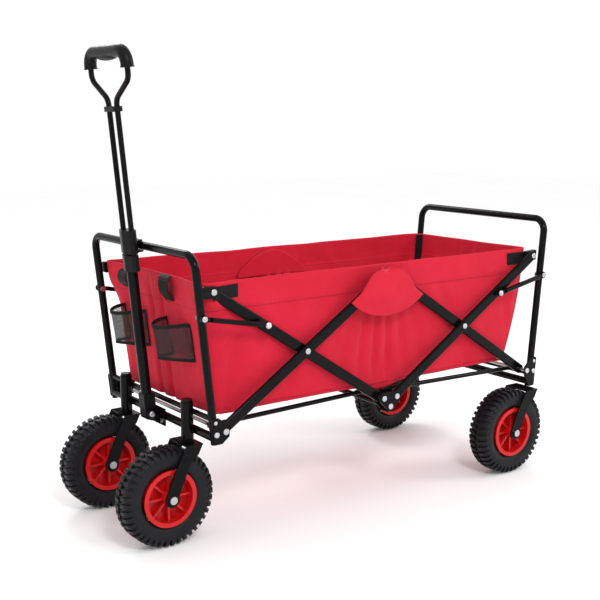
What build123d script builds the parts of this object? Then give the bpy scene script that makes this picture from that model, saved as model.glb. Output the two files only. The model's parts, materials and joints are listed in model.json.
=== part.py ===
from build123d import *
import os
from math import atan2, cos, degrees, hypot, pi, radians, sin, tan

# Folding camp wagon, millimetres. X runs front (pull handle, -X) to rear (+X), Z is up,
# -Y is the wagon's left side. The origin is on the ground, midway along the scissor frame.

# ---- driving dimensions ----
HALF_TRACK = 213.5            # y of the end-frame legs
TUBE_R = 8.25                 # end-frame tube radius
THIN_R = 5.5                  # handle loop and thin cross tubes
TUBE_WALL = 1.3
BASE_Z = 238.0                # height of the lower scissor pivots
HALF_BAR = 241.0              # from a bar's lower pivot to the crossing
TOP_REACH = 262.0             # from the crossing to the free upper end of an A bar
OPEN_ANGLE = 33.0             # bar angle above horizontal when open
FOLD_TRAVEL = 48.5            # how far each A bar turns to fold
CENTRE_PITCH = 18.0           # x of the two pivots on a centre bracket
BAR_WIDTH = 22.0
BAR_DEPTH = 10.0
BAR_WALL = 1.3
INNER_BAR_Y = 199.5           # the bars cross in two layers on each side
OUTER_BAR_Y = 211.0
BARS_OUT = OUTER_BAR_Y + BAR_DEPTH / 2   # outer face of the outer bars
PLATE = 2.5                   # bracket steel
PIN_R = 4.0
RUNNING = 0.05                # radial clearance of a running fit
OPEN_PIVOT_GAP = 1.0          # radial clearance at a pivot that is left open
PIN_END_GAP = 0.4             # between a link's pin and the bar that it is left open from

FRONT_LEAN = 6.1              # outward lean of the hoops, degrees
REAR_LEAN = 5.4
LEG_X = 443.5                 # leg position at the height of the lower pivots
FRONT_HOOP_TOP = 583.5        # height of each hoop's top tube
REAR_HOOP_TOP = 596.0
FRONT_FOOT = 214.0            # height of each hoop's feet
REAR_FOOT = 197.5
LINK_Z = 465.0                # height of the links' pivots on the legs
HOOP_BEND = 30.0

WHEEL_R = 100.0
TYRE_HALF = 27.5
RIM_R = 55.0
HUB_HALF = 28.5
AXLE_R = 5.0
FORK_INSIDE = 31.0
FORK_PLATE = 2.8
FRONT_FORK_TOP = 203.2
REAR_FORK_TOP = 197.2
CASTER_X = -455.5
CASTER_Y = 132.0
CASTER_TRAIL = 54.0
REAR_HUB_X = 364.5
REAR_WHEEL_Y = 215.6

HANDLE_PIVOT_X = -471.5
HANDLE_PIVOT_Z = 233.0
HANDLE_LEAN = 5.5
HANDLE_TUBE_R = 11.0
LOOP_LEG = 17.4
LOOP_HALF = 79.0
LOOP_TOP = 732.0
GRIP_R = 12.5

BASKET_HALF = 189.0           # outer face of the fabric side panels
FABRIC = 4.0
BASKET_TOP = 528.0
BASKET_FLOOR = 262.0

# ---- worked out from these ----
OPEN = radians(OPEN_ANGLE)
END_X = CENTRE_PITCH + 2 * HALF_BAR * cos(OPEN)
CROSS_X = CENTRE_PITCH + HALF_BAR * cos(OPEN)
CROSS_Z = BASE_Z + HALF_BAR * sin(OPEN)
TOP_PIVOT_Z = BASE_Z + 2 * HALF_BAR * sin(OPEN)
SHUT = radians(OPEN_ANGLE + FOLD_TRAVEL)

nodes = {}


# ---- helpers ----
def add(name, *solids):
    """Keeps the solids as one named node."""
    nodes[name] = [s for group in solids for s in group.solids()]


def both_sides(part):
    """The part and its mirror image on the other side of the wagon."""
    return part + mirror(part, about=Plane.XZ)


def rod_y(x, z, y0, y1, r, bore=0.0):
    """A cylinder along Y between y0 and y1, hollow if it has a bore."""
    outline = Circle(r) - Circle(bore) if bore else Circle(r)
    return Plane(origin=(x, y0, z), z_dir=(0, 1, 0)) * extrude(outline, y1 - y0)


def rod_z(x, y, z0, z1, r, bore=0.0):
    outline = Circle(r) - Circle(bore) if bore else Circle(r)
    return Pos(x, y, z0) * extrude(outline, z1 - z0)


def plate_xz(outline, y0, y1):
    """A flat plate between y0 and y1, from an outline drawn with x along X and y along Z."""
    return Plane(origin=(0, y1, 0), x_dir=(1, 0, 0), z_dir=(0, -1, 0)) * extrude(outline, y1 - y0)


def tube(path, r, wall):
    """A round tube swept along a path."""
    start = Plane(path @ 0, z_dir=path % 0)
    return sweep(start * (Circle(r) - Circle(r - wall)), path=path)


def dome(x, z, y_face, r, height):
    """A rivet head on the outer side (-Y) of the plane y = -y_face."""
    head = rod_y(x, z, -y_face - height, -y_face, r)
    edge = head.edges().filter_by(GeomType.CIRCLE).sort_by(Axis.Y)[0]
    return fillet(edge, height * 0.8)


def rivet(x, z, y_inner, y_outer, r=PIN_R, head=6.5, proud=2.4):
    """A rivet on the left side, from y_inner out to y_outer, with a head at each end."""
    shank = rod_y(x, z, -y_outer, -y_inner, r)
    inner_head = rod_y(x, z, -y_inner, -y_inner + 1.6, head)
    return shank + dome(x, z, y_outer, head, proud) + inner_head


def bar_plane(x, z, angle, y):
    """A plane with x along a bar that rises at an angle, its normal out to the left side."""
    return Plane(origin=(x, -y, z), x_dir=(cos(angle), 0, sin(angle)), z_dir=(0, -1, 0))


def scissor_bar(x, z, angle, y, length, holes):
    """A flat-oval tube with rounded ends and cross holes, on the left side.

    holes lists (distance from the first pivot, radius)."""
    middle = Pos(length / 2, 0, -BAR_DEPTH / 2)
    outer = middle * extrude(SlotCenterToCenter(length, BAR_WIDTH), BAR_DEPTH)
    outer = fillet(outer.faces().filter_by(Axis.Z).edges(), 3.6)
    core = SlotCenterToCenter(length, BAR_WIDTH - 2 * BAR_WALL)
    core = Pos(length / 2, 0, BAR_WALL - BAR_DEPTH / 2) * extrude(core, BAR_DEPTH - 2 * BAR_WALL)
    bar = outer - fillet(core.faces().filter_by(Axis.Z).edges(), 2.3)
    for distance, radius in holes:
        bar -= Pos(distance, 0, 0) * Cylinder(radius, 2 * BAR_DEPTH)
    return bar_plane(x, z, angle, y) * bar


# ---- end frames: end is -1 at the front and 1 at the rear ----
def leg_x(end, z):
    """x of a leg's axis at height z."""
    lean = FRONT_LEAN if end < 0 else REAR_LEAN
    return end * (LEG_X + tan(radians(lean)) * (z - BASE_Z))


def hoop_path(end, foot_z, top_z):
    foot = leg_x(end, foot_z)
    top = leg_x(end, top_z)
    return FilletPolyline(
        (foot, -HALF_TRACK, foot_z),
        (top, -HALF_TRACK, top_z),
        (top, HALF_TRACK, top_z),
        (foot, HALF_TRACK, foot_z),
        radius=HOOP_BEND,
    )


def largest(part):
    return part.solids().sort_by(SortBy.VOLUME)[-1]


def leg_space(end):
    """The straight part of the left leg as a solid cylinder, for coping the cross tubes."""
    low = 150.0
    slant = leg_x(end, low + 1) - leg_x(end, low)
    foot = Plane(origin=(leg_x(end, low), -HALF_TRACK, low), z_dir=(slant, 0, 1))
    return foot * extrude(Circle(TUBE_R), 200)


def cross_tube(end, z, r, sleeves):
    """A cross tube between the legs, coped to them and to the caster sleeves."""
    whole = rod_y(leg_x(end, z), z, -HALF_TRACK, HALF_TRACK, r, r - TUBE_WALL)
    whole = largest(whole - both_sides(leg_space(end)))
    return largest(whole - sleeves) if sleeves else whole


def make_end_frame(end, name, foot_z, top_z, lower_z, upper_z, sleeves=None):
    """The inverted-U hoop with its two cross tubes."""
    path = hoop_path(end, foot_z, top_z)
    hoop = tube(path, TUBE_R, TUBE_WALL)
    hoop -= both_sides(rod_y(leg_x(end, LINK_Z), LINK_Z, -HALF_TRACK - 12, -HALF_TRACK + 12, PIN_R))
    add(name + "_hoop", hoop)
    add(name + "_lower_cross_tube", cross_tube(end, lower_z, TUBE_R, sleeves))
    add(name + "_upper_cross_tube", cross_tube(end, upper_z, THIN_R, sleeves))


CORNER_IN = HALF_TRACK + TUBE_R + 0.25
CORNER_OUT = CORNER_IN + PLATE


def corner_plate(end, foot_z):
    """A pressed plate on the outer face of a leg's foot, reaching in to the base axle."""
    top_z = BASE_Z + 30
    outline = Polyline(
        (leg_x(end, foot_z) + end * 8, foot_z + 1),
        (leg_x(end, top_z) + end * 8, top_z),
        (leg_x(end, top_z) - end * 8, top_z),
        (end * (END_X - 8), BASE_Z + 10),
        (end * (END_X - 8), BASE_Z - 10),
        (leg_x(end, foot_z) - end * 10, foot_z + 1),
        close=True,
    )
    plate = plate_xz(make_face(outline), -CORNER_OUT, -CORNER_IN)
    plate = fillet(plate.edges().filter_by(Axis.Y), 4)
    return plate - rod_y(end * END_X, BASE_Z, -CORNER_OUT - 5, -CORNER_IN + 5, PIN_R)


def make_corners(end, name, foot_z):
    """The corner plates with their rivets, and the base axle between them."""
    add(name + "_corner_plates", both_sides(corner_plate(end, foot_z)))
    axle = rod_y(end * END_X, BASE_Z, -CORNER_OUT, CORNER_OUT, PIN_R)
    add(name + "_base_axle", axle + both_sides(dome(end * END_X, BASE_Z, CORNER_OUT, 6.5, 2.4)))
    high_z = BASE_Z + 21
    rivet_head = dome(leg_x(end, high_z), high_z, CORNER_OUT, 4.0, 2.0)
    bolt_head = dome(leg_x(end, BASE_Z), BASE_Z - 3, CORNER_OUT, 6.0, 3.0)
    foot_pin = rivet(leg_x(end, LINK_Z), LINK_Z, HALF_TRACK - TUBE_R, LINK_OUT + 0.3, head=6.0)
    add(name + "_frame_fasteners", both_sides(rivet_head), both_sides(bolt_head), both_sides(foot_pin))


# ---- links between the legs and the A bars ----
LINK_THICK = 5.0
LINK_TUBE_R = 4.8
LINK_IN = HALF_TRACK + TUBE_R + 0.6
LINK_OUT = LINK_IN + LINK_THICK


def link_offset(end):
    """How far out along an A bar the link joins it, so that it fits both open and folded."""
    foot_x = END_X - abs(leg_x(end, LINK_Z))
    foot_z = LINK_Z - BASE_Z
    run = cos(OPEN) - cos(SHUT)
    rise = sin(OPEN) - sin(SHUT)
    double = cos(2 * OPEN) - cos(2 * SHUT)
    top = -HALF_BAR * (foot_x * run + foot_z * rise)
    return top / (HALF_BAR * double - foot_x * run + foot_z * rise)


def link_ends(end, angle=OPEN):
    """(x, z) of the link's foot on the leg and of its head on the A bar, from the base pivot."""
    offset = link_offset(end)
    foot = END_X - abs(leg_x(end, LINK_Z)), LINK_Z - BASE_Z
    head = (HALF_BAR - offset) * cos(angle), (HALF_BAR + offset) * sin(angle)
    return foot, head


def link_turn(end):
    """How far the link turns over the whole fold, in degrees."""
    turns = []
    for angle in (OPEN, SHUT):
        foot, head = link_ends(end, angle)
        turns.append(degrees(atan2(head[1] - foot[1], head[0] - foot[0])))
    return turns[1] - turns[0]


def make_link(end, name):
    """A round rod with flattened, drilled ends, one on each side."""
    foot, head = link_ends(end)
    length = hypot(head[0] - foot[0], head[1] - foot[1])
    rise = atan2(head[1] - foot[1], head[0] - foot[0])
    flat = Pos(length / 2, 0, 0) * Box(length, 2 * LINK_TUBE_R, LINK_THICK)
    ends = Pos(0, 0, 0) * Cylinder(8.0, LINK_THICK) + Pos(length, 0, 0) * Cylinder(8.0, LINK_THICK)
    shaft = Plane(origin=(16, 0, 0), z_dir=(1, 0, 0)) * extrude(Circle(LINK_TUBE_R), length - 32)
    link = largest(flat + ends + Pos(0, 0, LINK_TUBE_R - LINK_THICK / 2) * shaft)
    link -= Pos(0, 0, 0) * Cylinder(PIN_R + RUNNING, 40)
    x = -END_X + foot[0]
    angle_plane = bar_plane(x, BASE_Z + foot[1], rise, (LINK_IN + LINK_OUT) / 2)
    placed = angle_plane * link
    head_x, head_z = head[0] - END_X, BASE_Z + head[1]
    pin = rod_y(head_x, head_z, -LINK_OUT + 1, -BARS_OUT - PIN_END_GAP, PIN_R)
    placed = placed + pin + dome(head_x, head_z, LINK_OUT, 6.0, 2.4)
    if end > 0:
        placed = mirror(placed, about=Plane.YZ)
    add(name + "_links", both_sides(placed))


# ---- scissor bars ----
def make_scissor(end, name):
    """The A pair, pivoted at the centre bracket, and the B pair, pivoted at the base axle."""
    a_layer, b_layer = (INNER_BAR_Y, OUTER_BAR_Y) if end < 0 else (OUTER_BAR_Y, INNER_BAR_Y)
    running = PIN_R + RUNNING
    offset = link_offset(end)
    a_holes = [(0, running), (HALF_BAR, PIN_R), (HALF_BAR + offset, PIN_R), (HALF_BAR + TOP_REACH, PIN_R)]
    a_bar = scissor_bar(-CENTRE_PITCH, BASE_Z, pi - OPEN, a_layer, HALF_BAR + TOP_REACH, a_holes)
    top_gap = running if end < 0 else PIN_R + OPEN_PIVOT_GAP
    b_holes = [(0, running), (HALF_BAR, running), (2 * HALF_BAR, top_gap)]
    b_bar = scissor_bar(-END_X, BASE_Z, OPEN, b_layer, 2 * HALF_BAR, b_holes)
    half = BAR_DEPTH / 2
    inner = INNER_BAR_Y - half
    outer = OUTER_BAR_Y + half
    top_x = CROSS_X + TOP_REACH * cos(OPEN)
    top_z = CROSS_Z + TOP_REACH * sin(OPEN)
    link_x = CROSS_X + offset * cos(OPEN)
    link_z = CROSS_Z + offset * sin(OPEN)
    a_inner, a_outer = a_layer - half, a_layer + half
    crossing = rivet(-CROSS_X, CROSS_Z, inner, outer + 0.3)
    to_link = rod_y(-link_x, link_z, -BARS_OUT, -a_inner, PIN_R)
    to_link += rod_y(-link_x, link_z, -a_inner, -a_inner + 1.6, 6.0)
    catch_in, catch_out = (a_outer, a_outer + 11) if end < 0 else (a_inner - 11, a_inner)
    catch_rivet = rivet(-top_x, top_z, min(a_inner, catch_in), max(a_outer, catch_out))
    catch = plate_xz(make_face(catch_outline(end, top_x, top_z)), -catch_out, -catch_in)
    catch = fillet(catch.edges().filter_by(Axis.Y), 3)
    catch -= rod_y(-top_x, top_z, -catch_out - 5, -catch_in + 5, PIN_R)
    parts = {
        "a_bars": [a_bar],
        "b_bars": [b_bar],
        "bar_rivets": [crossing, to_link, catch_rivet],
        "bar_catches": [catch],
    }
    for key, solids in parts.items():
        if end > 0:
            solids = [mirror(s, about=Plane.YZ) for s in solids]
        add(f"{name}_{key}", *[both_sides(s) for s in solids])


def catch_outline(end, top_x, top_z):
    """The plastic block on a bar's free end, which bears on the leg when the frame is open."""
    gap = 1.5
    near_low = abs(leg_x(end, top_z - 12)) - TUBE_R - gap
    near_high = abs(leg_x(end, top_z + 12)) - TUBE_R - gap
    return Polyline(
        (-near_low, top_z - 12),
        (-near_high, top_z + 12),
        (-top_x + 12, top_z + 10),
        (-top_x + 12, top_z - 12),
        close=True,
    )


# ---- centre and top brackets ----
INNER_PLATE = INNER_BAR_Y - BAR_DEPTH / 2 - 1.0
OUTER_PLATE = OUTER_BAR_Y + BAR_DEPTH / 2 + 1.0
CENTRE_TUBE_Z = BASE_Z - 20
CENTRE_TUBE_R = 6.0


def centre_outline():
    """A rounded triangle around the two pivots and the cross tube below them."""
    corner = [(-CENTRE_PITCH, BASE_Z, 12), (CENTRE_PITCH, BASE_Z, 12), (0, CENTRE_TUBE_Z, 11)]
    return make_hull([e for x, z, r in corner for e in (Pos(x, z) * Circle(r)).edges()])


def make_centre():
    outline = centre_outline()
    plates = plate_xz(outline, -INNER_PLATE, -INNER_PLATE + PLATE)
    plates += plate_xz(outline, -OUTER_PLATE - PLATE, -OUTER_PLATE)
    floor_z = CENTRE_TUBE_Z - 11
    web = Pos(0, -(INNER_PLATE + OUTER_PLATE) / 2, floor_z + PLATE / 2)
    plates += web * Box(2 * 9, OUTER_PLATE - INNER_PLATE + 2 * PLATE, PLATE)
    for x in (-CENTRE_PITCH, CENTRE_PITCH):
        plates -= rod_y(x, BASE_Z, -OUTER_PLATE - 9, -INNER_PLATE + 9, PIN_R)
    plates -= rod_y(0, CENTRE_TUBE_Z, -OUTER_PLATE - 9, -INNER_PLATE + 9, PIN_R)
    add("centre_brackets", both_sides(plates))
    reach = INNER_PLATE - PLATE
    add("centre_cross_tube", rod_y(0, CENTRE_TUBE_Z, -reach, reach, CENTRE_TUBE_R, PIN_R))
    plates_in, plates_out = INNER_PLATE - PLATE, OUTER_PLATE + PLATE
    pins = [rivet(x, BASE_Z, plates_in, plates_out) for x in (-CENTRE_PITCH, CENTRE_PITCH)]
    bolt = rod_y(0, CENTRE_TUBE_Z, -OUTER_PLATE - PLATE, -reach + 25, PIN_R)
    pins.append(bolt + dome(0, CENTRE_TUBE_Z, OUTER_PLATE + PLATE, 6.5, 2.4))
    add("centre_pins", *[both_sides(p) for p in pins])


def make_top():
    """The brackets that join the B bars' inner ends, and their pins."""
    plate = plate_xz(SlotCenterToCenter(2 * CENTRE_PITCH, 26), -OUTER_PLATE - PLATE, -OUTER_PLATE)
    plate = Pos(0, 0, TOP_PIVOT_Z) * plate
    pins = []
    for x in (-CENTRE_PITCH, CENTRE_PITCH):
        plate -= rod_y(x, TOP_PIVOT_Z, -OUTER_PLATE - 9, -OUTER_PLATE + 9, PIN_R)
        pins.append(rivet(x, TOP_PIVOT_Z, INNER_PLATE, OUTER_PLATE + PLATE, proud=2.0))
    add("top_brackets", both_sides(plate))
    add("top_pins", *[both_sides(p) for p in pins])


# ---- floor support tubes ----
FLOOR_R = 5.0


def make_floor_tubes(end, name, y):
    """Two tubes from the base axle to mid-length, flattened to eyes on the axle."""
    length = END_X - 3
    rise = atan2(9, length)
    path = Line((16, 0, 0), (length, 0, 0))
    body = tube(path, FLOOR_R, 1.2)
    eye = Cylinder(7.5, 6) + Pos(10, 0, 0) * Box(14, 9, 6)
    part = body + eye - Cylinder(PIN_R + RUNNING, 20)
    placed = bar_plane(-END_X, BASE_Z, rise, y) * largest(part)
    if end > 0:
        placed = mirror(placed, about=Plane.YZ)
    add(name + "_floor_tubes", both_sides(placed))


# ---- wheels, forks and casters ----
def make_tyre(x, y):
    bead = [(RIM_R + 0.3, 0), (RIM_R + 0.3, 19)]
    wall = [(62, 24.5), (74, TYRE_HALF), (88, 26.5), (96, 21)]
    tread = [(WHEEL_R, 12), (WHEEL_R, 0)]
    half = make_face(Polyline(*bead, *wall, *tread, close=True))
    profile = half + mirror(half, about=Plane.XZ)
    ring = revolve(profile, Axis.Y)
    return Pos(x, y, WHEEL_R) * ring


def make_rim(x, y):
    barrel = Polyline((49, 0), (49, 26), (58, 26), (58, 23.2), (RIM_R, 19.5), (RIM_R, 0), close=True)
    half = make_face(barrel)
    ring = revolve(half + mirror(half, about=Plane.XZ), Axis.Y)
    disc = rod_y(0, 0, -2.5, 2.5, 49.5)
    hub = rod_y(0, 0, -HUB_HALF, HUB_HALF, 14)
    rim = ring + disc + hub
    for step in range(8):
        spoke = Rot(0, 45 * step, 0) * Pos(31, 0, 0) * Box(38, 32, 4.5)
        rim += spoke
    return Pos(x, y, WHEEL_R) * (rim - rod_y(0, 0, -HUB_HALF - 1, HUB_HALF + 1, AXLE_R + RUNNING))


def make_fork(hub_x, y, top_z):
    """A pressed fork: a top plate and two blades that taper forward and down to the hub."""
    rear = hub_x + 70
    front = hub_x + 33
    blade = make_face(
        Polyline(
            (rear, top_z),
            (rear - 10, top_z - 20),
            (rear - 30, top_z - 38),
            (hub_x + 15, WHEEL_R + 6),
            (hub_x - 14, WHEEL_R + 6),
            (hub_x + 6, WHEEL_R + 52),
            (front, top_z),
            close=True,
        )
    )
    blade += Pos(hub_x, WHEEL_R) * Circle(15.5)
    outside = FORK_INSIDE + FORK_PLATE
    fork = plate_xz(blade, y - outside, y - FORK_INSIDE) + plate_xz(blade, y + FORK_INSIDE, y + outside)
    fork += Pos((rear + front) / 2, y, top_z - FORK_PLATE / 2) * Box(rear - front, 2 * outside, FORK_PLATE)
    return fork - rod_y(hub_x, WHEEL_R, y - 50, y + 50, AXLE_R)


def make_axle(x, y):
    """The wheel bolt with its head, nut and the two spacers beside the hub."""
    outside = FORK_INSIDE + FORK_PLATE
    bolt = rod_y(x, WHEEL_R, y - outside, y + outside, AXLE_R)
    for side in (-1, 1):
        far = y + side * (outside + 4.5)
        near = y + side * outside
        bolt += rod_y(x, WHEEL_R, min(far, near), max(far, near), 8)
        washer = y + side * (HUB_HALF + 0.3), y + side * FORK_INSIDE
        bolt += rod_y(x, WHEEL_R, min(washer), max(washer), 8.5)
    return bolt


STEM_R = 8.0
SLEEVE_R = 12.5
SLEEVE_Z = (210.5, 283.0)


def make_caster(side, name):
    """A fork with its vertical stem, which turns in the sleeve."""
    y = side * CASTER_Y
    hub_x = CASTER_X - CASTER_TRAIL
    stem = rod_z(CASTER_X, y, FRONT_FORK_TOP, SLEEVE_Z[0] - 0.5, SLEEVE_R)
    stem += rod_z(CASTER_X, y, FRONT_FORK_TOP, SLEEVE_Z[1] + 0.5, STEM_R)
    stem += rod_z(CASTER_X, y, SLEEVE_Z[1] + 0.5, SLEEVE_Z[1] + 5.5, 11)
    add(f"caster_fork_{name}", make_fork(hub_x, y, FRONT_FORK_TOP) + stem)
    add(f"front_axle_{name}", make_axle(hub_x, y))
    add(f"front_tyre_{name}", make_tyre(hub_x, y))
    add(f"front_rim_{name}", make_rim(hub_x, y))


def make_rear_wheel(side, name):
    y = side * REAR_WHEEL_Y
    add(f"rear_fork_{name}", make_fork(REAR_HUB_X, y, REAR_FORK_TOP))
    add(f"rear_tyre_{name}", make_tyre(REAR_HUB_X, y))
    add(f"rear_rim_{name}", make_rim(REAR_HUB_X, y))


def caster_sleeves():
    return both_sides(rod_z(CASTER_X, -CASTER_Y, *SLEEVE_Z, SLEEVE_R, STEM_R + RUNNING))


# ---- pull handle ----
LEAN = radians(HANDLE_LEAN)
EAR_IN = 12.6
EAR_OUT = EAR_IN + 3.0
COLLAR_LOW = 338.0
COLLAR_HIGH = 385.0
HANDLE = Plane(
    origin=(HANDLE_PIVOT_X, 0, HANDLE_PIVOT_Z), x_dir=(0, 1, 0), z_dir=(cos(LEAN), 0, sin(LEAN))
)


def make_handle_bracket():
    """The bracket on the front of the lower cross tube, with two ears for the handle's foot."""
    face_x = leg_x(-1, 226) - TUBE_R - 0.2
    base = Pos(face_x - 1.5, 0, 227) * Box(3, 72, 36)
    nose = [(HANDLE_PIVOT_X - 8, 244), (HANDLE_PIVOT_X - 12, 233), (HANDLE_PIVOT_X - 6, 221)]
    ear = make_face(Polyline((face_x, 213), (face_x, 244), *nose, close=True))
    bracket = base + both_sides(plate_xz(ear, -EAR_OUT, -EAR_IN))
    bracket -= rod_y(HANDLE_PIVOT_X, HANDLE_PIVOT_Z, -30, 30, PIN_R)
    add("handle_bracket", bracket)
    pivot = rod_y(HANDLE_PIVOT_X, HANDLE_PIVOT_Z, -EAR_OUT, EAR_OUT, PIN_R)
    pivot += both_sides(dome(HANDLE_PIVOT_X, HANDLE_PIVOT_Z, EAR_OUT, 6.5, 3))
    screw = Plane(origin=(face_x - 3, -27, 219), z_dir=(-1, 0, 0)) * extrude(Circle(5), 3)
    nodes["front_frame_fasteners"] += [pivot.solid(), *both_sides(screw).solids()]


def local(u, w, z=0.0):
    return HANDLE * Pos(u, w, z)


def along(u, w0, w1, r, bore=0.0):
    """A cylinder along the handle from w0 to w1, at the sideways offset u."""
    outline = Circle(r) - Circle(bore) if bore else Circle(r)
    placed = Plane(origin=(u, w0, 0), x_dir=(1, 0, 0), z_dir=(0, 1, 0)) * extrude(outline, w1 - w0)
    return HANDLE * placed


def handle_box(w0, w1, half_u, z0, z1):
    return local(0, (w0 + w1) / 2, (z0 + z1) / 2) * Box(2 * half_u, w1 - w0, z1 - z0)


def grouped(w0, w1, middle_r, side_r):
    """A rounded block that wraps the middle tube and the loop's two legs."""
    rings = [(-LOOP_LEG, side_r), (0, middle_r), (LOOP_LEG, side_r)]
    outline = make_hull([e for u, r in rings for e in (Pos(u, 0) * Circle(r)).edges()])
    placed = Plane(origin=(0, w0, 0), x_dir=(1, 0, 0), z_dir=(0, 1, 0)) * extrude(outline, w1 - w0)
    return HANDLE * placed


def make_lower_handle():
    tube_top = 380.0
    add("handle_tube", along(0, 12, tube_top, HANDLE_TUBE_R, HANDLE_TUBE_R - TUBE_WALL))
    foot = handle_box(-11, 44, 12.3, -12.5, 12.5)
    foot = fillet(foot.edges().filter_by(Axis.Y), 5)
    foot -= along(0, 12, 60, HANDLE_TUBE_R)
    foot -= rod_y(HANDLE_PIVOT_X, HANDLE_PIVOT_Z, -30, 30, PIN_R + RUNNING)
    add("handle_foot", foot)
    collar = grouped(COLLAR_LOW, COLLAR_HIGH, 14, 9)
    hoop_w = (FRONT_HOOP_TOP - HANDLE_PIVOT_Z) * cos(LEAN) + 0.9
    jaw = TUBE_R + 0.8
    collar += handle_box(hoop_w - jaw - 3.4, hoop_w - jaw, 12, 9, 24.5)
    collar += handle_box(hoop_w + jaw, hoop_w + jaw + 3.4, 12, 9, 24.5)
    for u in (-LOOP_LEG, LOOP_LEG):
        collar -= along(u, COLLAR_LOW - 5, COLLAR_HIGH + 5, THIN_R + RUNNING)
    collar -= along(0, COLLAR_LOW - 5, tube_top, HANDLE_TUBE_R)
    add("handle_collar", largest(collar))


def loop_path(points, radii):
    return HANDLE * FilletPolyline(*points, radius=radii)


def make_upper_handle():
    leg_foot = 303.0
    bend = 641.0
    shoulder = 679.0
    half_loop = [(LOOP_LEG, leg_foot), (LOOP_LEG, bend), (LOOP_HALF, shoulder), (LOOP_HALF, LOOP_TOP)]
    other = [(-u, w) for u, w in reversed(half_loop)]
    path = loop_path(half_loop + other, [22, 22, 26, 26, 22, 22])
    add("handle_loop", tube(path, THIN_R, 1.2))
    clamp = grouped(302, 334, 14, 8.5)
    clamp -= along(0, 290, 345, HANDLE_TUBE_R + RUNNING)
    for u in (-LOOP_LEG, LOOP_LEG):
        clamp -= along(u, leg_foot, 345, THIN_R)
    add("handle_clamp", clamp)
    yoke = grouped(618, 628, 7, 10)
    for u in (-LOOP_LEG, LOOP_LEG):
        yoke -= along(u, 600, 645, THIN_R)
    add("handle_yoke", yoke)
    grip_foot = 700.0
    corners = [(LOOP_HALF, LOOP_TOP), (-LOOP_HALF, LOOP_TOP)]
    grip_path = loop_path([(LOOP_HALF, grip_foot), *corners, (-LOOP_HALF, grip_foot)], [26, 26])
    grip = tube(grip_path, GRIP_R, GRIP_R - THIN_R)
    palm = local(0, LOOP_TOP - 9) * scale(Sphere(1), by=(42, 8.5, 10.5))
    palm -= local(0, LOOP_TOP) * Rot(0, 90, 0) * Cylinder(THIN_R, 2 * LOOP_HALF)
    grip += palm
    for u in (-LOOP_HALF, LOOP_HALF):
        grip += along(u, grip_foot, grip_foot + 2.5, GRIP_R + 1, THIN_R)
    add("handle_grip", grip)


# ---- fabric basket ----
FRONT_EDGE = [(-423.5, BASKET_FLOOR), (-451.5, BASKET_TOP)]
REAR_EDGE = [(442.5, BASKET_TOP), (429.5, 477.0), (409.5, 334.0), (389.5, BASKET_FLOOR)]
INSIDE = BASKET_HALF - FABRIC
POCKET_Y = 92.0


def make_basket():
    side = plate_xz(make_face(Polyline(*FRONT_EDGE, *REAR_EDGE, close=True)), -BASKET_HALF, -INSIDE)
    add("side_panel_left", side)
    add("side_panel_right", mirror(side, about=Plane.XZ))
    reach = INSIDE - 0.2
    wall_foot = BASKET_FLOOR + 8.3
    (x0, z0), (x1, z1) = FRONT_EDGE
    slope = (x1 - x0) / (z1 - z0)
    foot_x = x0 + slope * (wall_foot - z0)
    front_outside = [(foot_x, wall_foot), (x1, z1)]
    front_inside = [(x + FABRIC, z) for x, z in reversed(front_outside)]
    front = make_face(Polyline(*front_outside, *front_inside, close=True))
    add("front_panel", plate_xz(front, -reach, reach))
    outer = REAR_EDGE[:-1] + [(391.8, wall_foot)]
    inner = [(x - FABRIC, z) for x, z in reversed(outer)]
    add("rear_panel", plate_xz(make_face(Polyline(*outer, *inner, close=True)), -reach, reach))
    floor = Pos((foot_x + 391.8) / 2, 0, BASKET_FLOOR + 4) * Box(391.8 - foot_x - 6, 2 * reach, 8)
    add("floor_board", floor)
    moon = make_hull((Pos(0, 478) * Ellipse(106, 44)).edges() + (Pos(0, 520) * Rectangle(60, 12)).edges())
    add("top_flaps", both_sides(plate_xz(moon, -224.4, -222.6)))


def make_pockets():
    """Two cup pockets hung on the outside of the front panel."""
    pockets = []
    for side in (-1, 1):
        pouch = Pos(-465.0, side * POCKET_Y, 400) * Box(45, 94, 80)
        pouch -= Pos(-465.0, side * POCKET_Y, 414) * Box(40, 88, 100)
        pockets.append(pouch)
    add("cup_pockets", *pockets)


# ---- the whole wagon ----
sleeve_space = both_sides(rod_z(CASTER_X, -CASTER_Y, *SLEEVE_Z, SLEEVE_R))
make_end_frame(-1, "front", FRONT_FOOT, FRONT_HOOP_TOP, 226, 264, sleeve_space)
make_end_frame(1, "rear", REAR_FOOT, REAR_HOOP_TOP, 207, 227)
add("caster_sleeves", caster_sleeves())
for end, name in ((-1, "front"), (1, "rear")):
    make_corners(end, name, FRONT_FOOT if end < 0 else REAR_FOOT)
    make_link(end, name)
    make_scissor(end, name)
make_centre()
make_top()
make_floor_tubes(-1, "front", 168.0)
make_floor_tubes(1, "rear", 180.0)
for side, name in ((-1, "left"), (1, "right")):
    make_caster(side, name)
    make_rear_wheel(side, name)
add("rear_axles", both_sides(make_axle(REAR_HUB_X, -REAR_WHEEL_Y)))
make_handle_bracket()
make_lower_handle()
make_upper_handle()
make_basket()
make_pockets()

os.makedirs("parts", exist_ok=True)
for name, solids in nodes.items():
    export_step(Compound(solids) if len(solids) > 1 else solids[0], f"parts/{name}.step")
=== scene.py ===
import json
import math
import bpy
import bmesh
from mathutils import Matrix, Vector, noise


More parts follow.
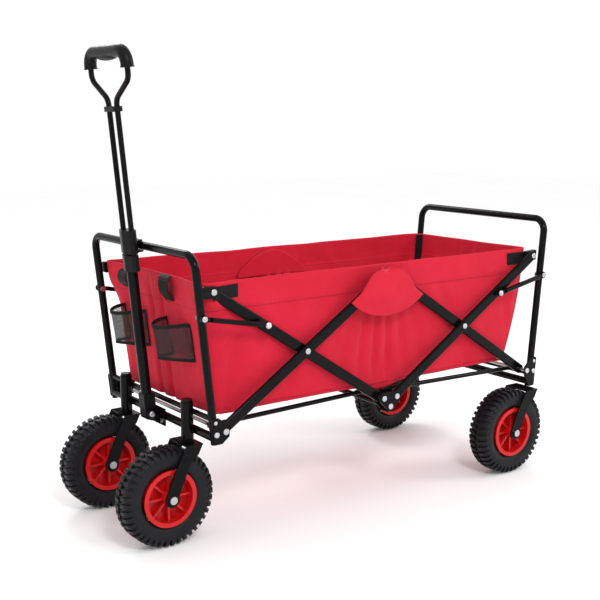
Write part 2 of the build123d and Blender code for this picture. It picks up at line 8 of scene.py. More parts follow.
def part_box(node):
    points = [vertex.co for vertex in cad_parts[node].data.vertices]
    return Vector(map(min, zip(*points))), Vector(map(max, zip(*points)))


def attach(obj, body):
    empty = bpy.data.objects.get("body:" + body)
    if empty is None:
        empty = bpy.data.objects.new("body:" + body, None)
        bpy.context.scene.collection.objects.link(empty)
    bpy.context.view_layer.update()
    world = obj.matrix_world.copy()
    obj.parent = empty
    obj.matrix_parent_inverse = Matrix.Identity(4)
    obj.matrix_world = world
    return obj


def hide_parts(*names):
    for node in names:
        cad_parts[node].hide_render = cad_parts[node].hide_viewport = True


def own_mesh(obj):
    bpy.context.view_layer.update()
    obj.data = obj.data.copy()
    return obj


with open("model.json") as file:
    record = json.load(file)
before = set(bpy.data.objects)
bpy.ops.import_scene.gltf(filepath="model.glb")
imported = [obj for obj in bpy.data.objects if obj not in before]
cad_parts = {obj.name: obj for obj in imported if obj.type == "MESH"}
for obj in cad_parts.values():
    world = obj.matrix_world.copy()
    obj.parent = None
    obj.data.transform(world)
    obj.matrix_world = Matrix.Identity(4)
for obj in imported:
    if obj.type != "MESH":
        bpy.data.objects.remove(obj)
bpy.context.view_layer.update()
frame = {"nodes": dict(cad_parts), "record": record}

nodes = frame["nodes"]


# ---- materials ----
def new_material(name):
    material = bpy.data.materials.new(name)
    material.use_nodes = True
    tree = material.node_tree
    return material, tree, tree.nodes["Principled BSDF"]


def link(tree, a, b):
    tree.links.new(a, b)


def add_noise(tree, scale, detail=3.0, stretch=(1, 1, 1)):
    """A noise texture in object space, which the CAD nodes and new pieces share."""
    coords = tree.nodes.new("ShaderNodeTexCoord")
    mapping = tree.nodes.new("ShaderNodeMapping")
    mapping.inputs["Scale"].default_value = stretch
    texture = tree.nodes.new("ShaderNodeTexNoise")
    texture.inputs["Scale"].default_value = scale
    texture.inputs["Detail"].default_value = detail
    link(tree, coords.outputs["Object"], mapping.inputs["Vector"])
    link(tree, mapping.outputs["Vector"], texture.inputs["Vector"])
    return texture.outputs["Fac"]


def add_ramp(tree, factor, low, high, start=0.3, end=0.7):
    ramp = tree.nodes.new("ShaderNodeValToRGB")
    ramp.color_ramp.elements[0].position = start
    ramp.color_ramp.elements[1].position = end
    ramp.color_ramp.elements[0].color = (*low, 1)
    ramp.color_ramp.elements[1].color = (*high, 1)
    link(tree, factor, ramp.inputs["Fac"])
    return ramp.outputs["Color"]


def add_range(tree, value, low, high):
    """Maps a 0 to 1 value to low to high."""
    node = tree.nodes.new("ShaderNodeMapRange")
    node.inputs["To Min"].default_value = low
    node.inputs["To Max"].default_value = high
    link(tree, value, node.inputs["Value"])
    return node.outputs["Result"]


def add_bump(tree, height, shader, strength, distance, before=None):
    bump = tree.nodes.new("ShaderNodeBump")
    bump.inputs["Strength"].default_value = strength
    bump.inputs["Distance"].default_value = distance
    link(tree, height, bump.inputs["Height"])
    if before is not None:
        link(tree, before, bump.inputs["Normal"])
    link(tree, bump.outputs["Normal"], shader.inputs["Normal"])
    return bump.outputs["Normal"]


def moulded(name, low, high, rough, scale, bump, metallic=0.0, spread=0.08, gloss=0.5):
    """Paint, plastic, rubber or metal: two close colours, uneven gloss and a fine surface grain."""
    material, tree, shader = new_material(name)
    broad = add_noise(tree, 14.0)
    fine = add_noise(tree, scale, 2.0)
    link(tree, add_ramp(tree, broad, low, high), shader.inputs["Base Color"])
    link(tree, add_range(tree, broad, rough - spread, rough + spread), shader.inputs["Roughness"])
    shader.inputs["Metallic"].default_value = metallic
    shader.inputs["Specular IOR Level"].default_value = gloss
    add_bump(tree, fine, shader, bump, 0.0004)
    return material


def add_weave(tree, pitch, axes):
    """The over-and-under of a plain weave as a height, from two crossed sine bands."""
    coords = tree.nodes.new("ShaderNodeTexCoord")
    bands = []
    for direction in axes:
        wave = tree.nodes.new("ShaderNodeTexWave")
        wave.bands_direction = direction
        wave.inputs["Scale"].default_value = 0.314 / pitch
        wave.inputs["Distortion"].default_value = 0.6
        wave.inputs["Detail"].default_value = 1.0
        link(tree, coords.outputs["Object"], wave.inputs["Vector"])
        bands.append(wave.outputs["Fac"])
    mix = tree.nodes.new("ShaderNodeMath")
    mix.operation = "MULTIPLY"
    link(tree, bands[0], mix.inputs[0])
    link(tree, bands[1], mix.inputs[1])
    return mix.outputs[0]


def add_seam_shade(tree, colour, height):
    """Painted shade: darkens the colour along a level seam, where the hem's edge shades the cloth."""
    coords = tree.nodes.new("ShaderNodeTexCoord")
    split = tree.nodes.new("ShaderNodeSeparateXYZ")
    seam_shade_band = tree.nodes.new("ShaderNodeMath")
    seam_shade_band.operation = "COMPARE"
    seam_shade_band.inputs[1].default_value = height
    seam_shade_band.inputs[2].default_value = 0.0011
    mix = tree.nodes.new("ShaderNodeMix")
    mix.data_type = "RGBA"
    mix.blend_type = "MULTIPLY"
    # painted shade: the darker tone multiplied into the colour inside the seam band
    mix.inputs["B"].default_value = (0.72, 0.66, 0.66, 1)
    link(tree, coords.outputs["Object"], split.inputs["Vector"])
    link(tree, split.outputs["Z"], seam_shade_band.inputs[0])
    link(tree, seam_shade_band.outputs[0], mix.inputs["Factor"])
    link(tree, colour, mix.inputs["A"])
    return mix.outputs["Result"]


def fabric(name, low, high, pitch, rough=0.72, sheen=0.25, bump=0.5, seam_shade_z=None):
    """Woven polyester: weave height, soft creases and uneven dye, and painted shade along a seam at one
    height.
    """
    material, tree, shader = new_material(name)
    dye = add_noise(tree, 9.0, 5.0)
    colour = add_ramp(tree, dye, low, high, 0.25, 0.75)
    # painted shade along the hem seam, at the given height
    if seam_shade_z is not None:
        colour = add_seam_shade(tree, colour, seam_shade_z)
    link(tree, colour, shader.inputs["Base Color"])
    link(tree, add_range(tree, dye, rough - 0.06, rough + 0.06), shader.inputs["Roughness"])
    shader.inputs["Sheen Weight"].default_value = sheen
    shader.inputs["Sheen Roughness"].default_value = 0.4
    shader.inputs["Specular IOR Level"].default_value = 0.18
    creases = add_bump(tree, add_noise(tree, 42.0, 5.0), shader, 0.35, 0.004)
    add_bump(tree, add_weave(tree, pitch, ("X", "Z")), shader, bump, pitch * 0.4, creases)
    return material


PAINT = moulded(
    "powder_coat", (0.002, 0.002, 0.0022), (0.004, 0.004, 0.0045), 0.15, 1400, 0.12, spread=0.04, gloss=0.1
)
ZINC = moulded("zinc_plate", (0.42, 0.43, 0.45), (0.62, 0.62, 0.64), 0.3, 1100, 0.15, metallic=1.0)
PLASTIC = moulded(
    "dark_plastic", (0.003, 0.003, 0.0035), (0.006, 0.006, 0.007), 0.34, 1600, 0.35, gloss=0.12
)
RED_PLASTIC = moulded("red_plastic", (0.46, 0.005, 0.006), (0.55, 0.008, 0.009), 0.25, 700, 0.06, gloss=0.3)
RUBBER = moulded("tyre_rubber", (0.005, 0.005, 0.006), (0.011, 0.011, 0.013), 0.42, 1200, 0.35, gloss=0.16)
RED = fabric("red_polyester", (0.5, 0.006, 0.022), (0.6, 0.011, 0.036), 0.0011, sheen=0.08)
MAT_RED = fabric("floor_polyester", (0.4, 0.006, 0.022), (0.5, 0.01, 0.032), 0.0013, sheen=0.08)
WEBBING = fabric("black_webbing", (0.002, 0.002, 0.002), (0.005, 0.005, 0.006), 0.0022, 0.6, 0.01, 0.8)


def mesh_material():
    """Knitted mesh: dark threads with open cells."""
    material, tree, shader = new_material("pocket_mesh")
    coords = tree.nodes.new("ShaderNodeTexCoord")
    cells = tree.nodes.new("ShaderNodeTexVoronoi")
    cells.feature = "DISTANCE_TO_EDGE"
    cells.inputs["Scale"].default_value = 600.0
    cells.inputs["Randomness"].default_value = 0.25
    link(tree, coords.outputs["Object"], cells.inputs["Vector"])
    spread = cells.outputs["Distance"]
    thread = add_ramp(tree, spread, (0.012, 0.012, 0.012), (0.004, 0.004, 0.004), 0.05, 0.3)
    link(tree, thread, shader.inputs["Base Color"])
    hole = tree.nodes.new("ShaderNodeMath")
    hole.operation = "LESS_THAN"
    hole.inputs[1].default_value = 0.085
    link(tree, cells.outputs["Distance"], hole.inputs[0])
    link(tree, add_range(tree, hole.outputs[0], 0.2, 0.8), shader.inputs["Alpha"])
    shader.inputs["Roughness"].default_value = 0.7
    add_bump(tree, cells.outputs["Distance"], shader, 0.6, 0.0008)
    return material


MESH = mesh_material()
BY_SLOT = {
    "frame_black": PAINT,
    "rivet_steel": ZINC,
    "black_plastic": PLASTIC,
    "basket_fabric": RED,
    "pocket_mesh": MESH,
    "floor_mat": MAT_RED,
    "tyre_rubber": RUBBER,
    "red_rim": RED_PLASTIC,
}
for part in frame["record"]["subparts"]:
    node = nodes[part["node"]]
    node.data.materials.clear()
    node.data.materials.append(BY_SLOT[part["material_slot"]])


# ---- building helpers ----
def make_piece(name, points, faces, material, body, smooth=True):
    """A mesh piece riding on a body."""
    mesh = bpy.data.meshes.new(name)
    mesh.from_pydata([tuple(p) for p in points], [], faces)
    mesh.materials.append(material)
    piece = bpy.data.objects.new(name, mesh)
    bpy.context.scene.collection.objects.link(piece)
    work = bmesh.new()
    work.from_mesh(mesh)
    bmesh.ops.recalc_face_normals(work, faces=work.faces)
    work.to_mesh(mesh)
    work.free()
    for face in piece.data.polygons:
        face.use_smooth = smooth
    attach(piece, body)
    return piece


def add_modifier(piece, kind, **settings):
    """Adds a modifier and applies it at once."""
    modifier = piece.modifiers.new(kind.lower(), kind)
    for key, value in settings.items():
        setattr(modifier, key, value)
    bpy.context.view_layer.update()
    evaluated = piece.evaluated_get(bpy.context.evaluated_depsgraph_get())
    mesh = bpy.data.meshes.new_from_object(evaluated)
    piece.modifiers.clear()
    piece.data = mesh


def grid_faces(rows, columns, closed=False):
    """Quads for a grid of points stored row by row; closed joins the last column to the first."""
    faces = []
    for r in range(rows - 1):
        for c in range(columns if closed else columns - 1):
            d = (c + 1) % columns
            faces.append((r * columns + c, r * columns + d, (r + 1) * columns + d, (r + 1) * columns + c))
    return faces


def lathe(profile, steps, centre, name, material, body):
    """Turns a closed (radius, across) profile about an axis along Y through centre."""
    points = []
    for k in range(steps):
        angle = 2 * math.pi * k / steps
        for radius, across in profile:
            points.append(centre + Vector((radius * math.cos(angle), across, radius * math.sin(angle))))
    count = len(profile)
    faces = []
    for k in range(steps):
        n = (k + 1) % steps
        for i in range(count):
            j = (i + 1) % count
            faces.append((k * count + i, k * count + j, n * count + j, n * count + i))
    return make_piece(name, points, faces, material, body)


def smoothstep(a, b, x):
    t = min(max((x - a) / (b - a), 0.0), 1.0)
    return t * t * (3 - 2 * t)


def bump_at(x, middle, width):
    return math.exp(-(((x - middle) / width) ** 2))


def wrinkle(x, y, z, scale, seed):
    """Soft repeatable noise between about -1 and 1."""
    return noise.noise(Vector((x * scale + seed, y * scale - seed, z * scale + 2 * seed)))


# ---- fabric basket ----
side_low, side_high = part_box("side_panel_left")
front_low, front_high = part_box("front_panel")
rear_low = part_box("rear_panel")[0]
RIM_Z = side_high.z
FLOOR_Z = side_low.z
HEM = 0.056
HALF_Y = -side_low.y
FRONT_TOP_X, FRONT_FOOT_X = front_low.x, front_high.x - 0.004
REAR_TOP_X, REAR_FOOT_X = side_high.x, rear_low.x + 0.004
CORNER = 0.016
PULL_OUT, PULL_FORWARD = 0.017, 0.010
BASKET = "basket"
DYE_LOW, DYE_HIGH = (0.5, 0.006, 0.022), (0.6, 0.011, 0.036)
# the basket cloth, with a painted shade line along the hem seam
HEM_RED = fabric("hemmed_polyester", DYE_LOW, DYE_HIGH, 0.0011, sheen=0.08, seam_shade_z=RIM_Z - HEM)


def basket_section(share):
    """(front x, rear x, half width) of the bag at a share of its height."""
    front = FRONT_FOOT_X + (FRONT_TOP_X - FRONT_FOOT_X) * share
    rise = 1 - (1 - share) ** 1.7
    rear = REAR_FOOT_X + (REAR_TOP_X - REAR_FOOT_X) * rise
    half = HALF_Y - 0.008 * (1 - share) ** 2
    return front, rear, half


def front_x(z):
    """The front panel's outer face at a height."""
    return basket_section((z - FLOOR_Z) / (RIM_Z - FLOOR_Z))[0]


def outline_points(front, rear, half, along, across):
    """The bag's outline as (point, outward way, side, share of side), with rounded corners."""
    corners = [(front, -half), (rear, -half), (rear, half), (front, half)]
    counts = [along, across, along, across]
    points = []
    for k in range(4):
        a, b = Vector(corners[k]), Vector(corners[(k + 1) % 4])
        way = (b - a).normalized()
        out = Vector((way.y, -way.x))
        start, end = a + way * CORNER, b - way * CORNER
        for i in range(counts[k]):
            t = i / (counts[k] - 1)
            points.append((start.lerp(end, t), out, k, t))
        hub = end - out * CORNER
        for i in range(1, 4):
            turn = math.pi / 2 * i / 4
            out_now = out * math.cos(turn) + way * math.sin(turn)
            points.append((hub + out_now * CORNER, out_now, k, 1.0))
    return points


# each fold on a side panel: where it is at the rim, its lean, its width and its depth
SIDE_FOLDS = [(-0.05, 0.10, 0.010, 0.006), (-0.018, 0.02, 0.008, 0.0075), (0.012, -0.05, 0.009, 0.007)]
SIDE_FOLDS += [(0.045, -0.16, 0.011, 0.005), (0.085, -0.25, 0.014, 0.003), (-0.09, 0.2, 0.014, 0.003)]


def side_folds(x, z, seed):
    """How far a side panel stands out of its plane, in metres."""
    height = (z - FLOOR_Z) / (RIM_Z - FLOOR_Z)
    free = smoothstep(1.0, 0.72, height)
    billow = 0.004 * math.sin(math.pi * height) * (1 - 0.5 * bump_at(x, 0, 0.08))
    folds = 0.0
    for middle, lean, width, depth in SIDE_FOLDS:
        folds -= depth * bump_at(x + lean * (0.42 - z), middle, width) * smoothstep(0.0, 0.25, height)
    for side in (-1, 1):
        corner = bump_at(x - side * (0.40 - 0.25 * (z - 0.3)), 0, 0.014)
        folds -= 0.004 * corner * smoothstep(0.9, 0.4, height)
        folds -= 0.003 * bump_at(x - side * (0.22 - 0.55 * (z - 0.36)), 0, 0.018)
    soft = 0.0035 * wrinkle(x, 0, z * 1.4, 11, seed) + 0.0016 * wrinkle(x, 0, z, 30, seed + 3)
    return billow + (folds + soft) * free


def end_folds(y, z, seed):
    """How far an end panel stands out of its plane, with the pleat down its middle."""
    height = (z - FLOOR_Z) / (RIM_Z - FLOOR_Z)
    free = smoothstep(1.0, 0.75, height)
    pleat = -0.006 * (bump_at(y, -0.022, 0.006) + bump_at(y, 0.022, 0.006))
    soft = 0.003 * wrinkle(y, 0, z, 12, seed) + 0.0014 * wrinkle(y, 0, z, 33, seed + 1)
    return (pleat + soft) * free + 0.003 * math.sin(math.pi * height)


def corner_pull(x, y, z):
    """How strongly the rim is drawn out to the front legs, from 0 to 1."""
    share = (z - FLOOR_Z) / (RIM_Z - FLOOR_Z)
    away = abs(x - front_x(z)) + HALF_Y - abs(y)
    return smoothstep(0.09, 0.0, away) * smoothstep(0.62, 0.9, share)


def make_basket():
    """The sewn bag: four walls and the hem round the rim, as one continuous sheet."""
    along, across, rows = 221, 81, 62
    points = []
    for r in range(rows):
        share = r / (rows - 1)
        ring = outline_points(*basket_section(share), along, across)
        z = FLOOR_Z + (RIM_Z - FLOOR_Z) * share
        band = 0.0016 * smoothstep(RIM_Z - HEM - 0.001, RIM_Z - HEM + 0.001, z)
        for spot, out, side, t in ring:
            if side in (0, 2):
                depth = side_folds(spot.x, z, 1.7 if side == 0 else 5.3)
                fade = smoothstep(0, 0.02, min(t, 1 - t))
                sag = 0.012 * bump_at(spot.x, 0.0, 0.05) + 0.003 * wrinkle(spot.x, 0, 0, 9, 2.0)
            else:
                depth = end_folds(spot.y, z, 9.1 if side == 3 else 4.2)
                fade = smoothstep(0, 0.05, min(t, 1 - t))
                sag = 0.004 * wrinkle(spot.y, 0, 0, 9, 7.0)
            wave = 0.0022 * wrinkle(spot.x * 1.3, spot.y, 0, 8, 3.0) * share ** 3
            reach = depth * fade + band
            pull = corner_pull(spot.x, spot.y, z)
            aside = math.copysign(PULL_OUT * pull, spot.y)
            x = spot.x + out.x * reach - PULL_FORWARD * pull
            y = spot.y + out.y * reach + aside
            points.append((x, y, z - sag * (1 - share) ** 2 + wave))
    shell = make_piece("basket_shell", points, grid_faces(rows, len(ring), closed=True), HEM_RED, BASKET)
    add_modifier(shell, "SOLIDIFY", thickness=0.0024, offset=-1.0)
    return shell


def soften(piece):
    """Gives a fabric piece smooth shading and attaches it to the basket with its own copy of the mesh."""
    for face in piece.data.polygons:
        face.use_smooth = True
    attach(piece, BASKET)
    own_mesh(piece)
    return piece


def strap(name, path, across, width, thick, material, body=BASKET, soft=True):
    """A flat strip of webbing along a path, its width along one direction."""
    across = Vector(across).normalized()
    points = []
    for i, p in enumerate(path):
        before, after = Vector(path[max(i - 1, 0)]), Vector(path[min(i + 1, len(path) - 1)])
        normal = (after - before).normalized().cross(across) * thick / 2
        side = across * width / 2
        points += [Vector(p) - side - normal, Vector(p) + side - normal]
        points += [Vector(p) + side + normal, Vector(p) - side + normal]
    faces = grid_faces(len(path), 4, closed=True)
    last = 4 * (len(path) - 1)
    faces += [(3, 2, 1, 0), (last, last + 1, last + 2, last + 3)]
    piece = make_piece(name, points, faces, material, body, smooth=False)
    if soft:
        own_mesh(piece)
    return piece


def smooth_path(corners, steps=8):
    """A Catmull-Rom curve through the corners."""
    spots = [Vector(c) for c in corners]
    spots = [2 * spots[0] - spots[1], *spots, 2 * spots[-1] - spots[-2]]
    path = []
    for k in range(1, len(spots) - 2):
        a, b, c, d = spots[k - 1 : k + 3]
        for i in range(steps):
            t = i / steps
            bend = (2 * a - 5 * b + 4 * c - d) * t**2
            twist = (3 * b - a - 3 * c + d) * t**3
            path.append(0.5 * (2 * b + (c - a) * t + bend + twist))
    path.append(spots[-2])
    return path


FLAP_APEX = Vector((-0.012, 0, RIM_Z - 0.0015))
FLAP_REACH = 0.107
FLAP_ROOT = 0.009
# how far out the flap stands: just past the top pins' box
FLAP_OUT = -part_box("top_pins")[0].y + 0.0022


def flap_point(turn, radius, side):
    """A point on a flap: a sector of cloth from the rim's edge out over the bars' joint."""
    share = radius / FLAP_REACH
    spread = math.radians(76 - 21 * smoothstep(0.2, 0.8, share))
    way = (2 * turn - 1) * spread
    edge = abs(2 * turn - 1)
    radius = radius * (1 + 0.13 * edge**2)
    spot = FLAP_APEX + radius * Vector((math.sin(way), 0, -math.cos(way)))
    lift = smoothstep(-0.02, 0.17, share)
    start = HALF_Y + 0.003
    out = start + (FLAP_OUT - start) * lift
    out -= 0.007 * (1 - edge**3) * smoothstep(0.6, 1.0, share)
    out -= 0.003 * edge**4 * smoothstep(0.5, 0.9, share)
    out += 0.0012 * wrinkle(spot.x, side, spot.z, 24, 6.0) * smoothstep(0.3, 0.6, share)
    return Vector((spot.x, side * out, spot.z))


def make_flap(side, name):
    """A half-moon flap that covers the bars' joint at the middle of one side."""
    turns, rings = 49, 33
    points = []
    for r in range(rings):
        radius = FLAP_ROOT + (FLAP_REACH - FLAP_ROOT) * r / (rings - 1)
        points += [flap_point(t / (turns - 1), radius, side) for t in range(turns)]
    flap = make_piece(f"top_flap_{name}", points, grid_faces(rings, turns), RED, BASKET)
    add_modifier(flap, "SOLIDIFY", thickness=0.0022, offset=0.0)
    soften(flap)
    return flap


ARCH_MIDDLE, ARCH_HALF, ARCH_DROP = -0.034, 0.098, 0.068


def make_arch(side, name):
    """The stitched arch inside the rim, opposite the flap."""
    wide, rows = 41, 13
    points = []
    for r in range(rows):
        for c in range(wide):
            u = 2 * c / (wide - 1) - 1
            top = RIM_Z - 0.005 - 0.055 * abs(u) ** 1.7
            z = RIM_Z - ARCH_DROP + (top - RIM_Z + ARCH_DROP) * r / (rows - 1)
            points.append((ARCH_MIDDLE + u * ARCH_HALF, side * (HALF_Y - 0.0052), z))
    arch = make_piece(f"arch_patch_{name}", points, grid_faces(rows, wide), RED, BASKET)
    add_modifier(arch, "SOLIDIFY", thickness=0.003, offset=0.0)
    return soften(arch)


shell = make_basket()
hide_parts("side_panel_left", "side_panel_right", "front_panel", "rear_panel")
soften(shell)
flaps = [make_flap(side, name) for side, name in ((-1, "left"), (1, "right"))]
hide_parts("top_flaps")
for side, name in ((-1, "left"), (1, "right")):
    make_arch(side, name)


# ---- webbing on the basket ----
def side_patch(name, side, x_from, x_to, z_from, z_to):
    """A black webbing patch sewn flat on the hem of one side."""
    middle, wide = (z_from + z_to) / 2, z_to - z_from
    path = []
    for i in range(9):
        x = x_from + (x_to - x_from) * i / 8
        pull = corner_pull(x, HALF_Y, middle)
        path.append((x - PULL_FORWARD * pull, side * (HALF_Y + 0.0034 + PULL_OUT * pull), middle))
    return strap(name, path, (0, 0, 1), wide, 0.0018, WEBBING)


# a loop of webbing on the front hem: share of its drop, how far out it stands and how far it leans
LOOP_BOW = [(0.0, 0.0032, 0), (0.1, 0.013, 0.3), (0.35, 0.020, 1)]
LOOP_BOW += [(0.65, 0.018, 0.9), (0.9, 0.007, 0.2), (1.0, 0.0032, 0)]


for side, name in ((-1, "left"), (1, "right")):
    side_patch(f"front_webbing_{name}", side, -0.428, -0.372, RIM_Z - 0.034, RIM_Z - 0.008)
    side_patch(f"rear_webbing_{name}", side, 0.376, 0.430, RIM_Z - 0.036, RIM_Z - 0.008)
    y, top, foot = (-0.060, 0.528, 0.476) if side < 0 else (0.122, 0.516, 0.479)
    loop = []
    for share, out, bow in LOOP_BOW:
        z = top + (foot - top) * share
        loop.append((front_x(z) - out, y - 0.010 * bow, z))
    strap(f"front_loop_{name}", smooth_path(loop), (0, 1, 0), 0.036, 0.0018, WEBBING)
    rear_corner = []
    for share in (0.2, 0.4, 0.6, 0.8, 0.99):
        rear_x = basket_section(share)[1] - 0.0075
        rear_corner.append((rear_x, side * (HALF_Y - 0.0115), FLOOR_Z + share * (RIM_Z - FLOOR_Z)))
    strap(f"corner_binding_{name}", rear_corner, (1, -side, 0), 0.017, 0.0016, WEBBING)


# ---- mesh cup pockets ----
pocket_low, pocket_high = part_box("cup_pockets")
# the pocket's outline from above at its mouth and foot: (across from its middle, out from the panel)
POCKET_MOUTH = [(0.050, 0.0), (0.047, 0.026), (0.031, 0.043)]
POCKET_MOUTH += [(0.004, 0.036), (-0.024, 0.020), (-0.047, 0.001)]
POCKET_FOOT = [(0.037, 0.0), (0.035, 0.028), (0.021, 0.045)]
POCKET_FOOT += [(-0.003, 0.036), (-0.028, 0.018), (-0.050, 0.001)]


def pocket_outline(middle, height):
    """The pocket's outline at a share of its height, from one edge on the panel round to the other."""
    z = pocket_low.z + 0.001 + (pocket_high.z - pocket_low.z - 0.001) * height
    corners = []
    for (y0, out0), (y1, out1) in zip(POCKET_FOOT, POCKET_MOUTH):
        y, out = y0 + (y1 - y0) * height, out0 + (out1 - out0) * height
        corners.append((front_x(z) - 0.0025 - out, middle + y, z))
    path = smooth_path(corners, 7)
    last = len(path) - 1
    for i, p in enumerate(path):
        p.z -= 0.009 * math.sin(math.pi * i / last) ** 2 * height
    return path


def make_pocket(middle, name):
    """A mesh cup pocket that stands open at its outer corner, bound in webbing."""
    rows = 15
    outlines = [pocket_outline(middle, r / (rows - 1)) for r in range(rows)]
    points = [p for outline in outlines for p in outline]
    wide = len(outlines[0])
    pouch = make_piece(f"cup_pocket_{name}", points, grid_faces(rows, wide), MESH, BASKET)
    floor = outlines[0]
    centre = sum(floor, Vector()) / wide
    fan = [(i, i + 1, wide) for i in range(wide - 1)]
    under = make_piece(f"pocket_floor_{name}", [*floor, centre], fan, MESH, BASKET)
    for piece in (pouch, under):
        add_modifier(piece, "SOLIDIFY", thickness=0.0007, offset=0.0)
        soften(piece)
    lip_path = [p + Vector((-0.0006, 0, -0.004)) for p in outlines[-1]]
    lip = strap(f"pocket_binding_{name}", lip_path, (0, 0, 1), 0.007, 0.0022, WEBBING)
    foot_path = [p + Vector((-0.0004, 0, 0.003)) for p in floor]
    foot = strap(f"pocket_foot_{name}", foot_path, (0, 0, 1), 0.006, 0.0018, WEBBING)
    for k, end in enumerate((0, wide - 1)):
        line = [outline[end] + Vector((-0.0012, 0, 0)) for outline in outlines]
        strap(f"pocket_seam_{name}_{k}", line, (0, 1, 0), 0.005, 0.0014, WEBBING)
    return pouch


pouches = [make_pocket(middle, name) for middle, name in ((-0.088, "left"), (0.098, "right"))]
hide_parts("cup_pockets")


# ---- padded floor mat ----
def make_mat():
    """The padded mat on the floor, sewn across into sections that crown between the seams."""
    low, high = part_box("floor_board")
    wide, deep = 161, 61
    points = []
    for layer in (0, 1):
        for i in range(wide):
            x = low.x + (high.x - low.x) * i / (wide - 1)
            section = (i / (wide - 1) * 4) % 1.0
            crown = (1 - abs(2 * section - 1) ** 3) ** 0.6
            for j in range(deep):
                v = 2 * j / (deep - 1) - 1
                y = v * (high.y - 0.001)
                swell = crown * (1 - abs(v) ** 6) ** 0.6
                top = low.z + 0.005 + 0.011 * swell + 0.0012 * wrinkle(x, y, 0, 26, 8.0) * swell
                points.append((x, y, top if layer else low.z + 0.001))
    size = wide * deep
    faces = grid_faces(wide, deep)
    faces += [tuple(size + k for k in reversed(f)) for f in grid_faces(wide, deep)]
    edge = list(range(deep))
    edge += [i * deep + deep - 1 for i in range(1, wide)]
    edge += [(wide - 1) * deep + j for j in range(deep - 2, -1, -1)]
    edge += [i * deep for i in range(wide - 2, 0, -1)]
    for a, b in zip(edge, edge[1:] + edge[:1]):
        faces.append((a, b, b + size, a + size))
    mat = make_piece("floor_mat", points, faces, MAT_RED, BASKET)
    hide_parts("floor_board")
    soften(mat)


make_mat()


# ---- tyres with tread blocks ----
TREAD_BLOCKS = 42             # along each side of a tyre
TREAD_DEPTH = 0.0048


def make_tyre(name, body):
    low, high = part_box(name)
    centre = (low + high) / 2
    outer, half = (high.z - low.z) / 2, (high.y - low.y) / 2
    base = outer - TREAD_DEPTH
    profile = [(outer - 0.043, 0.62), (outer - 0.040, 0.80), (outer - 0.030, 0.96), (outer - 0.020, 0.985)]
    profile += [(outer - 0.012, 0.92), (base - 0.001, 0.72), (base, 0.4), (base, 0.0)]
    mirrored = [(r, -w) for r, w in reversed(profile[:-1])]
    ring = [(r, w * half) for r, w in profile + mirrored]
    body_piece = lathe(ring, 96, centre, f"{name}_casing", RUBBER, body)
    add_modifier(body_piece, "SUBSURF", levels=1, render_levels=1)
    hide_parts(name)
    points, faces = [], []
    shoulder = [(0.10, base - 0.003), (0.12, outer), (0.66, outer - 0.0004), (0.88, outer - 0.0038)]
    shoulder += [(0.995, outer - 0.0105), (0.985, outer - 0.0155)]
    shoulder += [(0.90, outer - 0.0175), (0.78, base - 0.008)]
    for side in (-1, 1):
        for k in range(TREAD_BLOCKS):
            start = len(points)
            middle = 2 * math.pi * (k + 0.25 * side) / TREAD_BLOCKS
            for turn in (-0.27, 0.27):
                for across, radius in shoulder:
                    skew = 0.25 * (1 - across)
                    angle = middle + (turn + skew) * 2 * math.pi / TREAD_BLOCKS
                    x, z = radius * math.cos(angle), radius * math.sin(angle)
                    points.append(centre + Vector((x, side * across * half, z)))
            n = len(shoulder)
            faces.append(tuple(start + i for i in range(n)))
            faces.append(tuple(start + n + i for i in reversed(range(n))))
            for i in range(n):
                j = (i + 1) % n
                faces.append((start + i, start + j, start + n + j, start + n + i))
    blocks = make_piece(f"{name}_tread", points, faces, RUBBER, body, smooth=False)
    add_modifier(blocks, "BEVEL", width=0.0008, segments=2, limit_method="ANGLE")


for end in ("front", "rear"):
    for name in ("left", "right"):
        make_tyre(f"{end}_tyre_{name}", f"{end}_wheel_{name}")


# ---- steel heads on the link pins ----
LINK_END_R = 0.008
HEAD_PROFILE = [(0.0, 0.0012), (0.0045, 0.0008), (0.0068, -0.0012), (0.0072, -0.0032), (0.0, -0.0032)]


def make_link_heads():
    for end in ("front", "rear"):
        low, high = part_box(f"{end}_links")
        x = high.x - LINK_END_R if end == "front" else low.x + LINK_END_R
        z = low.z + LINK_END_R
        spots = [v.co for v in nodes[f"{end}_links"].data.vertices]
        top = max(abs(v.y) for v in spots if math.hypot(v.x - x, v.z - z) < 0.0062)
        for side, name in ((-1, "left"), (1, "right")):
            ring = [(r, side * (top + w)) for r, w in HEAD_PROFILE]
            head = lathe(ring, 24, Vector((x, 0, z)), f"{end}_link_head_{name}", ZINC, f"{end}_link")


make_link_heads()


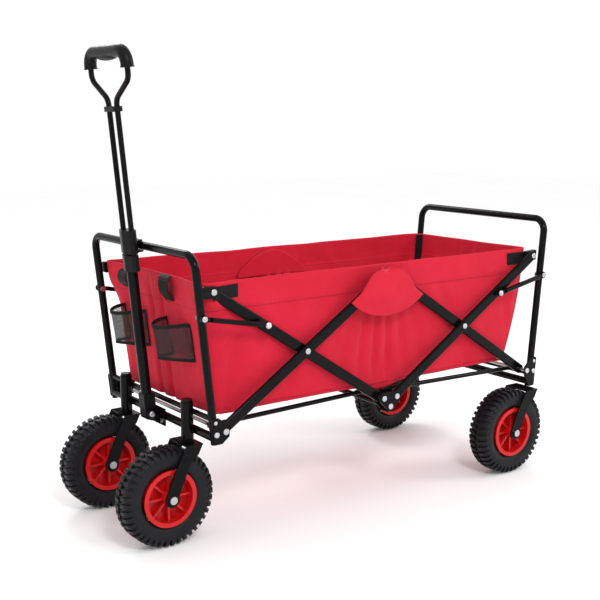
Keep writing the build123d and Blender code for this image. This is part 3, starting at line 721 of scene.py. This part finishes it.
# ---- camera, light and floor ----
CAMERA_PLACE = (-1.4795, -1.9305, 0.8531)
CAMERA_YAW, CAMERA_PITCH = 0.626, -0.176
CAMERA_LENS = 64.49


def look_direction():
    level = math.cos(CAMERA_PITCH)
    return Vector((math.sin(CAMERA_YAW) * level, math.cos(CAMERA_YAW) * level, math.sin(CAMERA_PITCH)))


def make_camera():
    data = bpy.data.cameras.new("camera")
    data.lens = CAMERA_LENS
    camera = bpy.data.objects.new("camera", data)
    camera.location = CAMERA_PLACE
    camera.rotation_euler = look_direction().to_track_quat("-Z", "Y").to_euler()
    bpy.context.scene.collection.objects.link(camera)
    bpy.context.scene.camera = camera


def make_light(name, place, target, size, power):
    data = bpy.data.lights.new(name, "AREA")
    data.size = size
    data.energy = power
    lamp = bpy.data.objects.new(name, data)
    lamp.location = place
    lamp.rotation_euler = (Vector(target) - Vector(place)).to_track_quat("-Z", "Y").to_euler()
    bpy.context.scene.collection.objects.link(lamp)


def make_stage():
    mesh = bpy.data.meshes.new("floor")
    size = 9.0
    corners = [(-size, -size, 0), (size, -size, 0), (size, size, 0), (-size, size, 0)]
    mesh.from_pydata(corners, [], [(0, 1, 2, 3)])
    floor = bpy.data.objects.new("floor", mesh)
    floor.location.z = -0.0005
    material, tree, shader = new_material("floor_paper")
    shade = add_noise(tree, 2.0)
    pale = add_ramp(tree, shade, (0.955, 0.955, 0.955), (0.97, 0.97, 0.97))
    link(tree, pale, shader.inputs["Base Color"])
    shader.inputs["Roughness"].default_value = 0.9
    mesh.materials.append(material)
    bpy.context.scene.collection.objects.link(floor)
    world = bpy.data.worlds.new("studio")
    world.use_nodes = True
    world.node_tree.nodes["Background"].inputs["Color"].default_value = (1, 1, 1, 1)
    world.node_tree.nodes["Background"].inputs["Strength"].default_value = 1.02
    bpy.context.scene.world = world
    bpy.context.scene.view_settings.view_transform = "Standard"


make_camera()
make_light("key", (-1.1, -2.8, 2.7), (0, 0, 0.35), 0.7, 48)
make_light("fill", (2.6, -1.8, 1.9), (0, 0, 0.35), 0.9, 22)
make_light("back", (0.2, 2.6, 2.6), (0, 0, 0.4), 1.0, 30)
make_stage()
